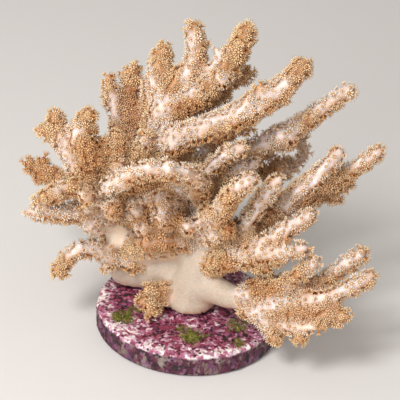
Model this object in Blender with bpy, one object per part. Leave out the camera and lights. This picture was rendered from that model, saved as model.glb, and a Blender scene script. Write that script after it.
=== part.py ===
"""Colt coral grown on a round ceramic disc: a smooth fleshy stalk that forks into branches of soft fingers.

Run with: blender --background --python part.py
Units are metres, +Z up. The origin is the centre of the disc's underside, and the viewer stands towards -Y.
"""
import math

import bmesh
import bpy
from mathutils import Vector

MM = 0.001

# Driving dimensions
DISC_DIAMETER = 50 * MM
DISC_THICKNESS = 6.8 * MM
DISC_EDGE = 0.9 * MM
DISC_SIDES = 36
SHARP_EDGE = math.radians(60)
GAP = 0.35 * MM

# The colony is laid out as it is seen from here, with the eye aimed a little above the disc.
VIEW_DISTANCE = 450 * MM
VIEW_ELEVATION = math.radians(29)
VIEW_ROLL = math.radians(5)
VIEW_AIM_ACROSS = 3.2 * MM
VIEW_AIM_UP = 28 * MM

# Fingers carry a polyp on every other corner of their rings.
FINGER_SIDES = 6
FINGER_RING = 4.4 * MM
POLYP_RISE = 1.1 * MM
STALK_SIDES = 8
STALK_RING = 6.5 * MM
ROUTE_STEPS = 12
TIP_TURN = math.radians(48)
KEPT_FACES = 0.75


def axes_of_view():
    """The directions across, up and away from the eye, as unit vectors."""
    level = Vector((1, 0, 0))
    upright = Vector((0, math.sin(VIEW_ELEVATION), math.cos(VIEW_ELEVATION)))
    away = Vector((0, math.cos(VIEW_ELEVATION), -math.sin(VIEW_ELEVATION)))
    across = level * math.cos(VIEW_ROLL) + upright * math.sin(VIEW_ROLL)
    up = upright * math.cos(VIEW_ROLL) - level * math.sin(VIEW_ROLL)
    return across, up, away


ACROSS, UP, AWAY = axes_of_view()
DISC_MIDDLE = Vector((0, 0, DISC_THICKNESS))
EYE = DISC_MIDDLE + ACROSS * VIEW_AIM_ACROSS + UP * VIEW_AIM_UP - AWAY * VIEW_DISTANCE


def seen(across, up, back):
    """The point seen that far across and up from the disc's middle, and standing that far back. All in mm."""
    sight = DISC_MIDDLE + ACROSS * across * MM + UP * up * MM - EYE
    return EYE + sight * ((back * MM - EYE.y) / sight.y)


def smooth_route(points):
    """A Catmull-Rom curve through the points, as close-set points."""
    ends = [points[0] * 2 - points[1], *points, points[-1] * 2 - points[-2]]
    route = []
    for before, start, end, after in zip(ends, ends[1:], ends[2:], ends[3:]):
        for step in range(ROUTE_STEPS):
            t = step / ROUTE_STEPS
            route.append(
                (
                    start * 2
                    + (end - before) * t
                    + (before * 2 - start * 5 + end * 4 - after) * t**2
                    + (start * 3 - before - end * 3 + after) * t**3
                )
                / 2
            )
    return [*route, points[-1]]


def lengths_along(route):
    """How far along the route each of its points lies."""
    reached = [0.0]
    for start, end in zip(route, route[1:]):
        reached.append(reached[-1] + (end - start).length)
    return reached


def point_at(route, reached, distance):
    """The point on the route at that distance from its start, and the route's direction there."""
    for start, end, low, high in zip(route, route[1:], reached, reached[1:]):
        if distance <= high:
            break
    share = (distance - low) / (high - low)
    return start.lerp(end, share), (end - start).normalized()


def stations(length, radius_of, ring):
    """(distance along, radius) of each ring, closing in a round tip."""
    tip = radius_of(1.0)
    shaft = length - tip
    count = max(1, round(shaft / ring))
    rings = [(shaft * i / count, radius_of(shaft * i / count / length)) for i in range(count + 1)]
    rings.append((shaft + tip * math.sin(TIP_TURN), tip * math.cos(TIP_TURN)))
    return rings


def tube(name, points, radii, sides, ring, rise, grow):
    """A closed tube along a smooth route, tapering through the radii, with its polyps as raised corners.

    grow makes it that much thicker all round, for a cutter that leaves a gap.
    """
    route = smooth_route(points)
    reached = lengths_along(route)
    length = reached[-1]
    joints = [reached[i * ROUTE_STEPS] / length for i in range(len(points))]

    def radius_of(share):
        for low, high, start, end in zip(joints, joints[1:], radii, radii[1:]):
            if share <= high + 1e-9:
                return start + (end - start) * max(0.0, share - low) / (high - low) + grow
        return radii[-1] + grow

    shape = bmesh.new()
    rings = []
    side = UP.cross(point_at(route, reached, 0.0)[1]).normalized()
    for row, (distance, radius) in enumerate(stations(length, radius_of, ring)):
        centre, along = point_at(route, reached, distance)
        side = (side - along * side.dot(along)).normalized()
        other = along.cross(side)
        corners = []
        for corner in range(sides):
            turn = 2 * math.pi * corner / sides
            outward = side * math.cos(turn) + other * math.sin(turn)
            lift = rise / 2 if (row + corner) % 2 == 0 else -rise / 2
            corners.append(shape.verts.new(centre + outward * (radius + lift * min(1, radius / radii[-1]))))
        rings.append(corners)
    apex = shape.verts.new(route[-1] + (route[-1] - route[-2]).normalized() * grow)
    for row, (lower, upper) in enumerate(zip(rings, rings[1:])):
        for corner in range(sides):
            after = (corner + 1) % sides
            a, b, c, d = lower[corner], lower[after], upper[after], upper[corner]
            if (row + corner) % 2 == 0:
                shape.faces.new((a, b, d))
                shape.faces.new((b, c, d))
            else:
                shape.faces.new((a, b, c))
                shape.faces.new((a, c, d))
    for corner in range(sides):
        shape.faces.new((rings[-1][corner], rings[-1][(corner + 1) % sides], apex))
    shape.faces.new(reversed(rings[0]))
    return object_of(name, shape)


def object_of(name, shape):
    """A scene object that holds this bmesh."""
    mesh = bpy.data.meshes.new(name)
    shape.to_mesh(mesh)
    shape.free()
    made = bpy.data.objects.new(name, mesh)
    bpy.context.scene.collection.objects.link(made)
    return made


def as_helper(made):
    """Marks an object as one that only shapes others."""
    made.hide_render = True
    made.display_type = "WIRE"
    return made


def boolean(made, operation, other):
    """Adds a Boolean with an object or with every object of a collection."""
    modifier = made.modifiers.new(operation.lower(), "BOOLEAN")
    modifier.operation = operation
    modifier.solver = "EXACT"
    if isinstance(other, bpy.types.Collection):
        modifier.operand_type = "COLLECTION"
        modifier.collection = other
    else:
        modifier.object = other


def grown(name, fingers, grow=0.0, smooth=False):
    """One solid of all the fingers, each given as its points and radii in mm."""
    sides, ring, rise = (STALK_SIDES, STALK_RING, 0.0) if smooth else (FINGER_SIDES, FINGER_RING, POLYP_RISE)
    tubes = [
        tube(
            f"{name}_{number}",
            [seen(*point) for point in points],
            [radius * MM for radius in radii],
            sides,
            ring,
            rise,
            grow,
        )
        for number, (points, radii) in enumerate(fingers)
    ]
    first, rest = tubes[0], tubes[1:]
    first.name = name
    if rest:
        joined = bpy.data.collections.new(f"{name}_fingers")
        for other in rest:
            joined.objects.link(as_helper(other))
        boolean(first, "UNION", joined)
    if rest and not grow:
        lighter = first.modifiers.new("lighter", "DECIMATE")
        lighter.ratio = KEPT_FACES
    return first


def material(name, colour, roughness):
    made = bpy.data.materials.new(name)
    made.use_nodes = True
    shader = made.node_tree.nodes["Principled BSDF"]
    shader.inputs["Base Color"].default_value = (*colour, 1.0)
    shader.inputs["Roughness"].default_value = roughness
    shader.inputs["Metallic"].default_value = 0.0
    return made


def room_of_disc():
    """A block that ends a gap above the disc's top."""
    shape = bmesh.new()
    bmesh.ops.create_cube(shape, size=1)
    bmesh.ops.scale(shape, verts=shape.verts, vec=(2 * DISC_DIAMETER, 2 * DISC_DIAMETER, DISC_DIAMETER))
    top = DISC_THICKNESS + GAP
    bmesh.ops.translate(shape, verts=shape.verts, vec=(0, 0, top - DISC_DIAMETER / 2))
    return object_of("disc_room", shape)


def frag_disc():
    """The ceramic disc that the coral was grown on, with its edges eased."""
    shape = bmesh.new()
    bmesh.ops.create_cone(
        shape,
        cap_ends=True,
        segments=DISC_SIDES,
        radius1=DISC_DIAMETER / 2,
        radius2=DISC_DIAMETER / 2,
        depth=DISC_THICKNESS,
    )
    bmesh.ops.translate(shape, verts=shape.verts, vec=(0, 0, DISC_THICKNESS / 2))
    disc = object_of("frag_disc", shape)
    edge = disc.modifiers.new("eased_edges", "BEVEL")
    edge.width = DISC_EDGE
    edge.segments = 1
    edge.limit_method = "ANGLE"
    edge.angle_limit = SHARP_EDGE
    return disc


# The smooth stalk: its foot on the disc, the arm to the right, the second foot and stem to the left, the webs
# of flesh between the two, and the core.
STALK = [
    ([(0, -2, -1), (1, 3, 0), (3, 9, 0), (4.5, 15, 1), (3.5, 22, 3), (0, 30, 5), (-4, 39, 8)],
     [9, 7.4, 6, 5.3, 5, 4.6, 4]),
    ([(3, 5, -2), (9, 3, -6), (15, 0, -10)], [5, 3.8, 3.5]),
    ([(-15.5, 2, 9), (-16, 8, 9), (-18, 16, 8), (-20, 24, 6), (-21, 29, 5)], [6.6, 5.8, 4.8, 4.2, 3.6]),
    ([(-16, 8, 9), (-8, 9.5, 5.5), (1, 10, 3)], [5, 5.6, 5]),
    ([(-18, 16, 7), (-8, 17, 4), (3, 17, 2)], [5, 6, 5]),
    ([(2, 20, 4), (-4, 27, 6), (-9, 34, 8)], [5.5, 6.5, 5]),
    ([(-20, 25, 6), (-12, 26, 5), (-3, 26, 5)], [3.8, 5.2, 5.2]),
]

# Each branch is a list of fingers: the points each runs through, root first, and its radius at each of them.
BRANCHES = {
    "right_low_branch": [
        ([(12, 2, -8), (21, 2, -12), (26, 5, -14), (31, 8.5, -15), (36, 12.5, -15)],
         [3.8, 3.3, 3, 2.8, 2.5]),
        ([(18, 0, -12), (28, 1.6, -13), (34.5, 5, -12), (41.5, 9.5, -11), (49, 15, -10)],
         [3.4, 3.3, 3.1, 3, 2.6]),
        ([(18, -1.5, -13), (28, -1, -16), (38, 2, -18), (45, 4.8, -18), (51.2, 8.5, -18)],
         [3.3, 3.1, 3, 2.9, 2.5]),
        ([(24, -2, -15), (33, -3, -19), (39, -2.5, -21), (45, -4.2, -22)], [3, 2.8, 2.6, 2.3]),
        ([(37, -3, -20), (41.5, -6.5, -22)], [2.2, 1.9]),
        ([(14, -1, -10), (25, -6, -17), (31, -6.5, -21), (38, -6, -24)], [3.4, 3, 2.7, 2.3]),
        ([(21, -5, -15), (24.5, -11.5, -21)], [2.8, 2.2]),
        ([(28, -6, -19), (31.5, -11.5, -24)], [2.6, 2.2]),
        ([(13, 2, -9), (20, 5.5, -9), (25, 8, -8)], [3.2, 2.7, 2.2]),
    ],
    "right_high_branch": [
        ([(4, 14, 1), (14, 19, 0), (22, 24, -1), (30, 30.3, -1), (36.5, 36, 0), (42.2, 42.2, 1)],
         [4, 3.8, 3.7, 3.6, 3.2, 2.6]),
        ([(31, 30.5, 0), (39, 33, 3), (46.5, 37.6, 5), (53.6, 42.6, 6)], [3.6, 3.4, 3.1, 2.4]),
        ([(33, 31, 1), (39, 31.5, 4), (45.5, 32.3, 5)], [2.8, 2.6, 2.2]),
        ([(33, 30, 1), (38, 29.3, 4), (42, 27.5, 5)], [2.8, 2.5, 2.1]),
        ([(26, 25.5, -1), (31, 26.5, 0), (36.5, 27, 1)], [2.7, 2.3, 2]),
        ([(8, 15.5, -1), (14.5, 20.5, -5), (18.5, 25.5, -7), (21.7, 30, -8), (25.8, 35, -8)],
         [3.4, 3.3, 3.2, 3, 2.4]),
    ],
    "right_middle_branch": [
        ([(4, 11, -2), (13, 13.8, -6), (20, 16, -9), (28, 21, -10), (35, 25, -10)],
         [4, 3.6, 3.3, 3, 2.5]),
        ([(5, 10, -4), (14, 12, -9), (20, 12.7, -12), (27, 13.5, -14), (33.5, 15.8, -14)],
         [3.6, 3.1, 2.8, 2.6, 2.3]),
        ([(21, 13, -12), (27, 10.5, -14)], [2.2, 1.9]),
        ([(14, 11.5, -9), (23, 8.8, -12)], [2.6, 2.1]),
    ],
    "front_right_branch": [
        ([(4, 17, 0), (7, 21, -6), (9.3, 25.5, -11), (11.8, 29.5, -14), (15, 32.3, -15), (19.3, 34.8, -15)],
         [3.8, 3.7, 3.6, 3.4, 3.1, 2.5]),
        ([(4, 17, -1), (8.5, 18.5, -8), (12, 21, -12)], [3.2, 2.8, 2.3]),
        ([(3, 19, 0), (4.5, 23, -6), (5, 26, -10)], [3.4, 3, 2.5]),
    ],
    "crown_right_branch": [
        ([(0, 28, 4), (8, 35.5, 5), (17, 41, 7), (25, 45.5, 8), (31.6, 49, 8), (38, 54, 8), (45.3, 59, 8)],
         [4.6, 4.2, 4, 3.7, 3.5, 3.1, 2.5]),
        ([(25, 45.5, 8), (30, 44.5, 11), (31.7, 40.5, 13), (28.5, 37, 14), (23.5, 36.5, 14)],
         [2.6, 2.4, 2.3, 2.3, 2.3]),
        ([(1, 32, 5), (3, 38, 7), (7, 43.5, 9), (12.5, 47, 12)], [3.6, 3.4, 3, 2.4]),
        ([(3, 33, 3), (9, 39, -2), (16.5, 43, -4)], [3.4, 3.2, 2.6]),
        ([(2, 29, 4), (10, 34.5, 2), (17, 37.5, 1), (20.5, 38.5, 1)], [3.8, 3.2, 2.8, 2.4]),
        ([(8, 36, 7), (16, 38.5, 10), (24.3, 41.2, 12)], [3.2, 3.1, 2.6]),
        ([(8, 31, 6), (17, 34.5, 10), (26, 37, 14)], [3.4, 3, 2.4]),
    ],
    "crown_branch": [
        ([(-7, 41, 8), (-4, 44, 3), (4, 47, 1), (12, 50, 0), (19, 53.5, 1), (26.5, 59, 3), (32.5, 66.5, 4)],
         [4.6, 4.6, 4.4, 4.2, 4.1, 3.9, 3]),
        ([(14, 53.5, 1), (18.5, 57.5, 1), (20.5, 60.5, 2)], [2.5, 2.3, 1.9]),
        ([(6, 46, 1), (12, 46.5, 3), (18.5, 49, 5)], [3, 2.8, 2.3]),
        ([(-7, 42, 8), (-11, 44, 3), (-12.5, 44.5, 0)], [3.6, 3.2, 2.5]),
    ],
    "top_branch": [
        ([(-4, 40, 9), (-7, 47, 10), (-7.5, 52, 11), (-4, 58, 13), (1.5, 64, 15), (2, 70, 17), (1, 77, 18)],
         [4.2, 4.2, 4.4, 4.2, 3.9, 3.5, 2.4]),
        ([(2.2, 68, 16), (5.4, 71.5, 17)], [2.2, 1.9]),
        ([(-6, 51, 11), (3, 56.5, 10), (9, 62, 11), (13.4, 68.5, 12), (17, 76, 13)],
         [4, 4.2, 4.2, 4, 2.9]),
        ([(7, 65, 12), (8.2, 70.5, 13)], [2.1, 1.7]),
        ([(-5, 51, 12), (4, 56.5, 14), (11, 60, 16), (18.5, 62.8, 18)], [3.6, 3.4, 3.2, 2.6]),
        ([(-2, 51, 13), (5, 54, 15), (12, 57, 18)], [3.2, 2.8, 2.2]),
    ],
    "top_left_branch": [
        ([(-9, 43, 9), (-10.5, 49, 13), (-10.2, 55, 15), (-9, 62, 17), (-5.8, 71, 20)],
         [3.2, 3.3, 3.2, 3.4, 2.9]),
        ([(-8, 61.5, 17), (-3.4, 66, 19)], [2.6, 2.3]),
        ([(-9, 45, 12), (-14.5, 51, 16), (-15.3, 57, 19), (-14.2, 66, 22)], [3.4, 3.2, 3, 2.6]),
        ([(-15.3, 58, 20), (-18.3, 64, 21)], [2.3, 1.9]),
        ([(-8, 42, 10), (-16, 44, 12), (-19.5, 49, 14), (-20, 55, 16), (-22.3, 63, 18)],
         [3.8, 3.4, 2.9, 2.6, 2.3]),
        ([(-20, 53, 15), (-23.7, 55.5, 16)], [2, 1.7]),
    ],
    "middle_left_branch": [
        ([(-8, 31, 7), (-15, 34, 3), (-22, 39, 0)], [4.6, 4.4, 3.2]),
        ([(-8, 35, 8), (-14, 39, 6), (-20.5, 45, 5)], [4.4, 4.2, 3.2]),
        ([(-12, 33, 6), (-20, 37.5, 4), (-24.5, 43, 3)], [4.4, 4, 3]),
    ],
    "left_high_branch": [
        ([(-20, 28, 5), (-27, 33, 3), (-31.5, 38, 3), (-33, 43, 4), (-37.3, 52.5, 6)],
         [4.2, 4, 3.6, 3.4, 3]),
        ([(-34, 44, 4), (-39, 46.5, 5), (-41.5, 48.5, 5)], [2.8, 2.6, 2.2]),
        ([(-33, 45, 4), (-32, 50, 5)], [1.9, 1.6]),
        ([(-32, 41, 4), (-29.5, 46, 4), (-26, 53, 4)], [3.2, 3.1, 2.6]),
        ([(-24, 32, 3), (-27, 38, 0), (-27.5, 44, -1)], [3.6, 3.3, 2.6]),
    ],
    "left_branch": [
        ([(-21, 24.5, 2), (-27, 24.5, -2), (-34, 24.3, -6), (-44.8, 25, -9)], [3.9, 3.9, 3.5, 2]),
        ([(-22, 27, 2), (-27, 30.5, -3), (-33, 31.5, -6), (-38, 28.7, -8), (-42.5, 26.8, -9)],
         [3.8, 3.6, 3.2, 3, 2]),
        ([(-24, 27, 0), (-28, 29, -10)], [3.2, 2.4]),
        ([(-24, 24, 0), (-27, 21, -4), (-28.5, 18.8, -5)], [3.2, 2.8, 2.3]),
        ([(-20, 26, 3), (-20.5, 25.5, -4), (-20.5, 24.5, -9)], [3.4, 2.9, 2.3]),
        ([(-21, 22, 3), (-24.5, 20, 0), (-26.5, 18.2, -2)], [3.6, 3.2, 2.4]),
    ],
    "left_low_branch": [
        ([(-11, 11, 4), (-18, 12, 3), (-23.5, 14, 0.5), (-28.5, 15, -2), (-33, 12, -4), (-36, 6.4, -6)],
         [3.8, 3.5, 3.3, 3.2, 3.2, 2.8]),
        ([(-20, 12, 2), (-23.8, 7.8, 0)], [2.3, 1.9]),
    ],
    "back_left_branch": [
        ([(-20, 25, 8), (-28, 30, 15), (-36, 34, 21), (-45.2, 38.6, 25)], [3.4, 3.3, 3.1, 2.6]),
        ([(-35, 34, 20), (-40.5, 40.5, 24)], [2.3, 1.9]),
        ([(-34, 33, 19), (-42, 34, 23)], [2.3, 1.9]),
        ([(-20, 26, 9), (-24, 36, 17), (-26, 43, 22)], [3.2, 2.8, 2.3]),
    ],
    "front_arch": [
        ([(1, 29, 4), (4, 31.5, -5), (1, 34.5, -13), (-5, 36, -17), (-12, 36, -17), (-18, 33.5, -16),
          (-24, 30, -14)],
         [3.8, 3.5, 3.4, 3.4, 3.4, 3.2, 2.6]),
        ([(-17, 34, -16), (-17.5, 29, -16)], [2.9, 2.3]),
    ],
    "front_branch": [
        ([(-3, 25, 2), (-5, 27, -4), (-9.5, 28, -10)], [4.2, 4.4, 3.2]),
        ([(0, 22, 1), (-4, 23.5, -4), (-8.5, 23, -11)], [4.6, 4.2, 2.7]),
        ([(3, 20, 1), (-1, 21, -10)], [3.8, 2.7]),
        ([(2, 16.5, 1), (-3, 17.5, -3), (-8, 17, -4), (-13.5, 16, -3)], [3.8, 3.4, 3.2, 2.6]),
        ([(-2, 20, 1), (-9, 20, -2), (-14, 20.5, -5)], [4.2, 3.8, 2.8]),
        ([(-6, 24, 3), (-12, 24, -2), (-15, 25.5, -6)], [4.2, 3.6, 2.8]),
    ],
    "back_branch": [
        ([(2, 22, 4), (6, 32, 18), (8, 40, 28), (9, 45, 36)], [3.8, 3.2, 2.8, 2.4]),
        ([(2, 22, 5), (10, 31, 16), (14, 38, 25), (18, 43, 31)], [3.6, 3, 2.7, 2.3]),
        ([(0, 28, 6), (-5, 38, 20), (-8, 46, 30), (-9, 51, 35)], [3.8, 3.1, 2.7, 2.3]),
        ([(1, 25, 5), (-1, 35, 20), (0, 42, 31), (1, 46, 38)], [3.6, 3.1, 2.7, 2.3]),
    ],
    "back_low_branch": [
        ([(4, 14, 2), (3, 20, 16), (3, 24, 25), (3, 26, 32)], [3.6, 3, 2.6, 2.3]),
        ([(5, 13, 3), (12, 17, 12), (20, 21, 19), (27, 24, 24)], [3.6, 3, 2.6, 2.3]),
    ],
    "back_left_low_branch": [
        ([(-17, 14, 9), (-19, 22, 20), (-20, 27, 28), (-21, 30, 34)], [3.6, 3, 2.6, 2.3]),
        ([(-17, 13, 9), (-13, 21, 20), (-10, 25, 28), (-8, 28, 34)], [3.4, 2.9, 2.5, 2.2]),
    ],
    "foot_bud": [
        ([(-5.5, 4, -2), (-10, 1.8, -6), (-14.5, -0.5, -8)], [2.8, 2.6, 2.1]),
        ([(-6, 2, -3), (-9.5, -1.5, -8), (-10.5, -4.5, -11)], [2.6, 2.4, 2]),
        ([(-6, 4, -3), (-10, 4.5, -4), (-13.2, 4, -5)], [2.4, 2.2, 1.9]),
    ],
}

for leftover in list(bpy.data.objects):
    bpy.data.objects.remove(leftover, do_unlink=True)

flesh = material("cream_flesh", (0.86, 0.78, 0.66), 0.45)
polyps = material("tan_polyps", (0.66, 0.47, 0.27), 0.6)
crust = material("coralline_crust", (0.42, 0.20, 0.30), 0.7)

disc = frag_disc()
disc.data.materials.append(crust)
disc_room = as_helper(room_of_disc())

stalk = grown("stalk", STALK, smooth=True)
boolean(stalk, "DIFFERENCE", disc_room)
stalk.data.materials.append(flesh)

# Each branch keeps clear of the stalk and of the branches before it.
taken = bpy.data.collections.new("taken")
taken.objects.link(as_helper(grown("stalk_room", STALK, grow=GAP, smooth=True)))
for name, fingers in BRANCHES.items():
    branch = grown(name, fingers)
    before = bpy.data.collections.new(f"before_{name}")
    for room in taken.objects:
        before.objects.link(room)
    boolean(branch, "DIFFERENCE", before)
    branch.data.materials.append(polyps)
    taken.objects.link(as_helper(grown(f"{name}_room", fingers, grow=GAP)))
boolean(bpy.data.objects["foot_bud"], "DIFFERENCE", disc_room)
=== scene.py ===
import math

import bmesh
import bpy
import numpy as np
from mathutils import Matrix, Vector, noise
from mathutils.bvhtree import BVHTree
from mathutils.kdtree import KDTree


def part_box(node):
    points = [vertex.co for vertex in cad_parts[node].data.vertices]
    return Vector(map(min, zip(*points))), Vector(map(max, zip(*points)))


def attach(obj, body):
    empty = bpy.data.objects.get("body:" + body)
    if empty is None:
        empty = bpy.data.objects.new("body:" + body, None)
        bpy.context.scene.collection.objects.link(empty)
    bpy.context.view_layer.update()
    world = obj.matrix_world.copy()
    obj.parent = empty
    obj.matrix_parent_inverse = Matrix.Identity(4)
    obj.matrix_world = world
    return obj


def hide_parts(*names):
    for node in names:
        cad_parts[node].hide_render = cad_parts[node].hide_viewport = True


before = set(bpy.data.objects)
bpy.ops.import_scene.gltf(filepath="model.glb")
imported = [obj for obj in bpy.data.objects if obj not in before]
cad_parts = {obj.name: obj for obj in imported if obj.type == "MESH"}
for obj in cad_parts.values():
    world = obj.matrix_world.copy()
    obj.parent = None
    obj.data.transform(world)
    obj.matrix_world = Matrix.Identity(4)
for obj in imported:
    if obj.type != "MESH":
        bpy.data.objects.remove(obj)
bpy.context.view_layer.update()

# The camera
# The colony is looked down on from the front through a long lens, with the camera turned a little on its axis.
# Sizes are in metres with +Z up. Places given as they are seen are in millimetres.
MM = 0.001
VIEW_DISTANCE = 0.45
VIEW_ELEVATION = math.radians(29)
VIEW_ROLL = math.radians(5)
AIM_ACROSS = 0.0032
AIM_UP = 0.028
FRAME_WIDTH = 0.1081
SENSOR_WIDTH = 36
NEAREST_SEEN = 0.05
disc_top = Vector((0, 0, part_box("frag_disc")[1].z))
level = Vector((1, 0, 0))
upright = Vector((0, math.sin(VIEW_ELEVATION), math.cos(VIEW_ELEVATION)))
away = Vector((0, math.cos(VIEW_ELEVATION), -math.sin(VIEW_ELEVATION)))
across_axis = level * math.cos(VIEW_ROLL) + upright * math.sin(VIEW_ROLL)
up_axis = upright * math.cos(VIEW_ROLL) - level * math.sin(VIEW_ROLL)
eye = disc_top + across_axis * AIM_ACROSS + up_axis * AIM_UP - away * VIEW_DISTANCE
camera = bpy.data.objects.new("camera", bpy.data.cameras.new("camera"))
bpy.context.scene.collection.objects.link(camera)
turn = Matrix((across_axis, up_axis, -away)).transposed().to_4x4()
camera.matrix_world = Matrix.Translation(eye) @ turn
camera.data.sensor_width = SENSOR_WIDTH
camera.data.lens = SENSOR_WIDTH * VIEW_DISTANCE / FRAME_WIDTH
camera.data.clip_start = NEAREST_SEEN
bpy.context.scene.camera = camera


def seen(across, up, back):
    """The point seen that far across and up from the middle of the disc's top, and standing that far back."""
    sight = disc_top + (across_axis * across + up_axis * up) * MM - eye
    return eye + sight * ((back * MM - eye.y) / sight.y)


# The frag disc
# A round ceramic disc that has lain in the tank for years. Stony crusts in pink, lilac and maroon have grown over
# its top and side, pitted with small holes that are painted as dark spots, painted shade, and only the flat
# underside that it rests on is bare.
CRUST = 0.0005
DISC_SIDES = 120
DISC_VOXEL = 0.00045
EDGE_WIDTH = 0.0009
EDGE_STEPS = 3
EDGE_PROFILE = 0.6
SAME_PLACE = 1e-6
BARE_BELOW = 0.0004
BARE_FADE = 0.001
LUMP_DEPTH, LUMP_SIZE = 0.0011, 0.0028
GRAIN_DEPTH, GRAIN_SIZE = 0.0004, 0.0009
# The top of the rim is paler at the front and left.
RIM_WIDTH = 0.0048
RIM_FADE = 0.002
PALER_UP_TO = 0.45
PALER_LEAN = 0.35
PALER_FADE = 0.5
RIM_PALER = 0.16
# Crust colours lie along one number, from the darkest to the palest. A pattern is its waves a metre, its detail
# and its roughness.
TOP_CRUSTS = (
    (0.28, (0.018, 0.003, 0.008)), (0.38, (0.13, 0.010, 0.034)), (0.48, (0.27, 0.042, 0.09)),
    (0.58, (0.40, 0.11, 0.18)), (0.66, (0.54, 0.29, 0.42)), (0.74, (0.76, 0.62, 0.66)),
    (0.84, (0.92, 0.84, 0.80)),
)
# The side's crusts are darker than the top's: their own darker maroon, and painted shade as well.
SHADED_SIDE_CRUSTS = (
    (0.28, (0.006, 0.002, 0.004)), (0.40, (0.060, 0.005, 0.020)), (0.52, (0.105, 0.013, 0.044)),
    (0.60, (0.135, 0.04, 0.065)), (0.67, (0.165, 0.125, 0.105)), (0.78, (0.23, 0.185, 0.16)),
    (0.90, (0.40, 0.27, 0.37)),
)
TOP_CELLS, TOP_LEAN = 1200, 0.36
SIDE_CELLS, SIDE_LEAN, SIDE_SQUEEZE = 800, 0.34, 0.7
TOP_FROM, TOP_WHOLE = 0.0016, 0.0009
WANDER_WAVES, WANDER_DETAIL, WANDER = 900, 3.0, 0.0016
BROAD, BROAD_RISE = (230, 2.0, 0.6), (0.30, 0.70)
GRAIN, GRAIN_RISE = (1500, 4.0, 0.8), (0.25, 0.75)
OWN_SHARE = 0.40
VIOLET, VIOLET_RISE, VIOLET_SHARE = (0.26, 0.11, 0.26), (0.78, 0.82), 0.35
# Pits are small holes painted as dark spots: painted shade, with no hole in the mesh.
PIT_SHADE, PIT_CELLS, PIT_RISE = (0.012, 0.004, 0.008), 640, (0.30, 0.20)
PITTED, PITTED_RISE = (330, 1.0, 0.5), (0.34, 0.42)
STAINED = (1300, 3.0, 0.7)
STAIN_GREENS = ((0.35, (0.02, 0.025, 0.006)), (0.50, (0.12, 0.12, 0.015)), (0.68, (0.30, 0.27, 0.05)))
CRUST_ROUGHNESS = 0.55
CRUST_RELIEF, CRUST_BUMP = (1500, 3.0, 0.6), 0.0005


def deselect():
    for chosen in list(bpy.context.selected_objects):
        chosen.select_set(False)


def apply_all(piece):
    bpy.context.view_layer.objects.active = piece
    for modifier in list(piece.modifiers):
        bpy.ops.object.modifier_apply(modifier=modifier.name)


def displace(piece, name, strength, group="", cloud_size=None):
    """Moves the surface along its normals, by a cloudy texture if its size is given, within a vertex group."""
    modifier = piece.modifiers.new(name, "DISPLACE")
    modifier.strength = strength
    modifier.mid_level = 0.0 if cloud_size is None else 0.5
    modifier.vertex_group = group
    if cloud_size is not None:
        pattern = bpy.data.textures.new(name, "CLOUDS")
        pattern.noise_scale = cloud_size
        modifier.texture = pattern
        modifier.texture_coords = "LOCAL"


def remesh(piece, name, voxel):
    modifier = piece.modifiers.new(name, "REMESH")
    modifier.mode = "VOXEL"
    modifier.voxel_size = voxel


def within_one(value):
    """The number, kept between 0 and 1."""
    return min(1.0, max(0.0, value))


disc_low, disc_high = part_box("frag_disc")
disc_radius = (disc_high.x - disc_low.x) / 2
disc_body = disc_high.z - CRUST / 2
deselect()
bpy.ops.mesh.primitive_cylinder_add(
    vertices=DISC_SIDES, radius=disc_radius - CRUST, depth=disc_body, location=(0, 0, disc_body / 2)
)
disc = bpy.context.object
disc.name = "crusted_disc"
bpy.ops.object.transform_apply(location=True, rotation=True, scale=True)
bpy.ops.object.mode_set(mode="EDIT")
bpy.ops.mesh.select_all(action="DESELECT")
bpy.ops.object.mode_set(mode="OBJECT")
for edge in disc.data.edges:
    ends = [disc.data.vertices[v].co.z for v in edge.vertices]
    edge.select = abs(ends[0] - ends[1]) < SAME_PLACE
bpy.ops.object.mode_set(mode="EDIT")
bpy.ops.mesh.bevel(offset=EDGE_WIDTH, segments=EDGE_STEPS, profile=EDGE_PROFILE)
bpy.ops.object.mode_set(mode="OBJECT")
remesh(disc, "even_faces", DISC_VOXEL)
apply_all(disc)
crusted = disc.vertex_groups.new(name="crusted")
for vertex in disc.data.vertices:
    crusted.add([vertex.index], within_one((vertex.co.z - BARE_BELOW) / BARE_FADE), "REPLACE")
displace(disc, "crust_lumps", LUMP_DEPTH, "crusted", LUMP_SIZE)
displace(disc, "crust_grains", GRAIN_DEPTH, "crusted", GRAIN_SIZE)
apply_all(disc)
disc.data.shade_smooth()
paler_rim = disc.data.attributes.new("paler_rim", "FLOAT", "POINT")
for vertex in disc.data.vertices:
    rim = within_one((vertex.co.xy.length - disc_radius + RIM_WIDTH) / RIM_FADE)
    facing = within_one((PALER_UP_TO - (vertex.co.y + vertex.co.x * PALER_LEAN) / disc_radius) / PALER_FADE)
    on_top = vertex.co.z > disc_high.z - TOP_FROM
    paler_rim.data[vertex.index].value = RIM_PALER * rim * facing if on_top else 0.0


def new_material(name):
    """A material with only a Principled shader and an output, as (material, nodes, links, shader)."""
    made = bpy.data.materials.new(name)
    made.use_nodes = True
    nodes = made.node_tree.nodes
    return made, nodes, made.node_tree.links, nodes["Principled BSDF"]


def place_of(nodes):
    return nodes.new("ShaderNodeTexCoord").outputs["Object"]


def attribute_of(nodes, name):
    """The mesh's own value of that name, as a number."""
    made = nodes.new("ShaderNodeAttribute")
    made.attribute_name = name
    return made.outputs["Fac"]


def noise_of(nodes, links, place, waves, detail, roughness):
    """A noise pattern, as a number."""
    made = nodes.new("ShaderNodeTexNoise")
    made.inputs["Scale"].default_value = waves
    made.inputs["Detail"].default_value = detail
    made.inputs["Roughness"].default_value = roughness
    links.new(place, made.inputs["Vector"])
    return made.outputs["Fac"]


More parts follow.
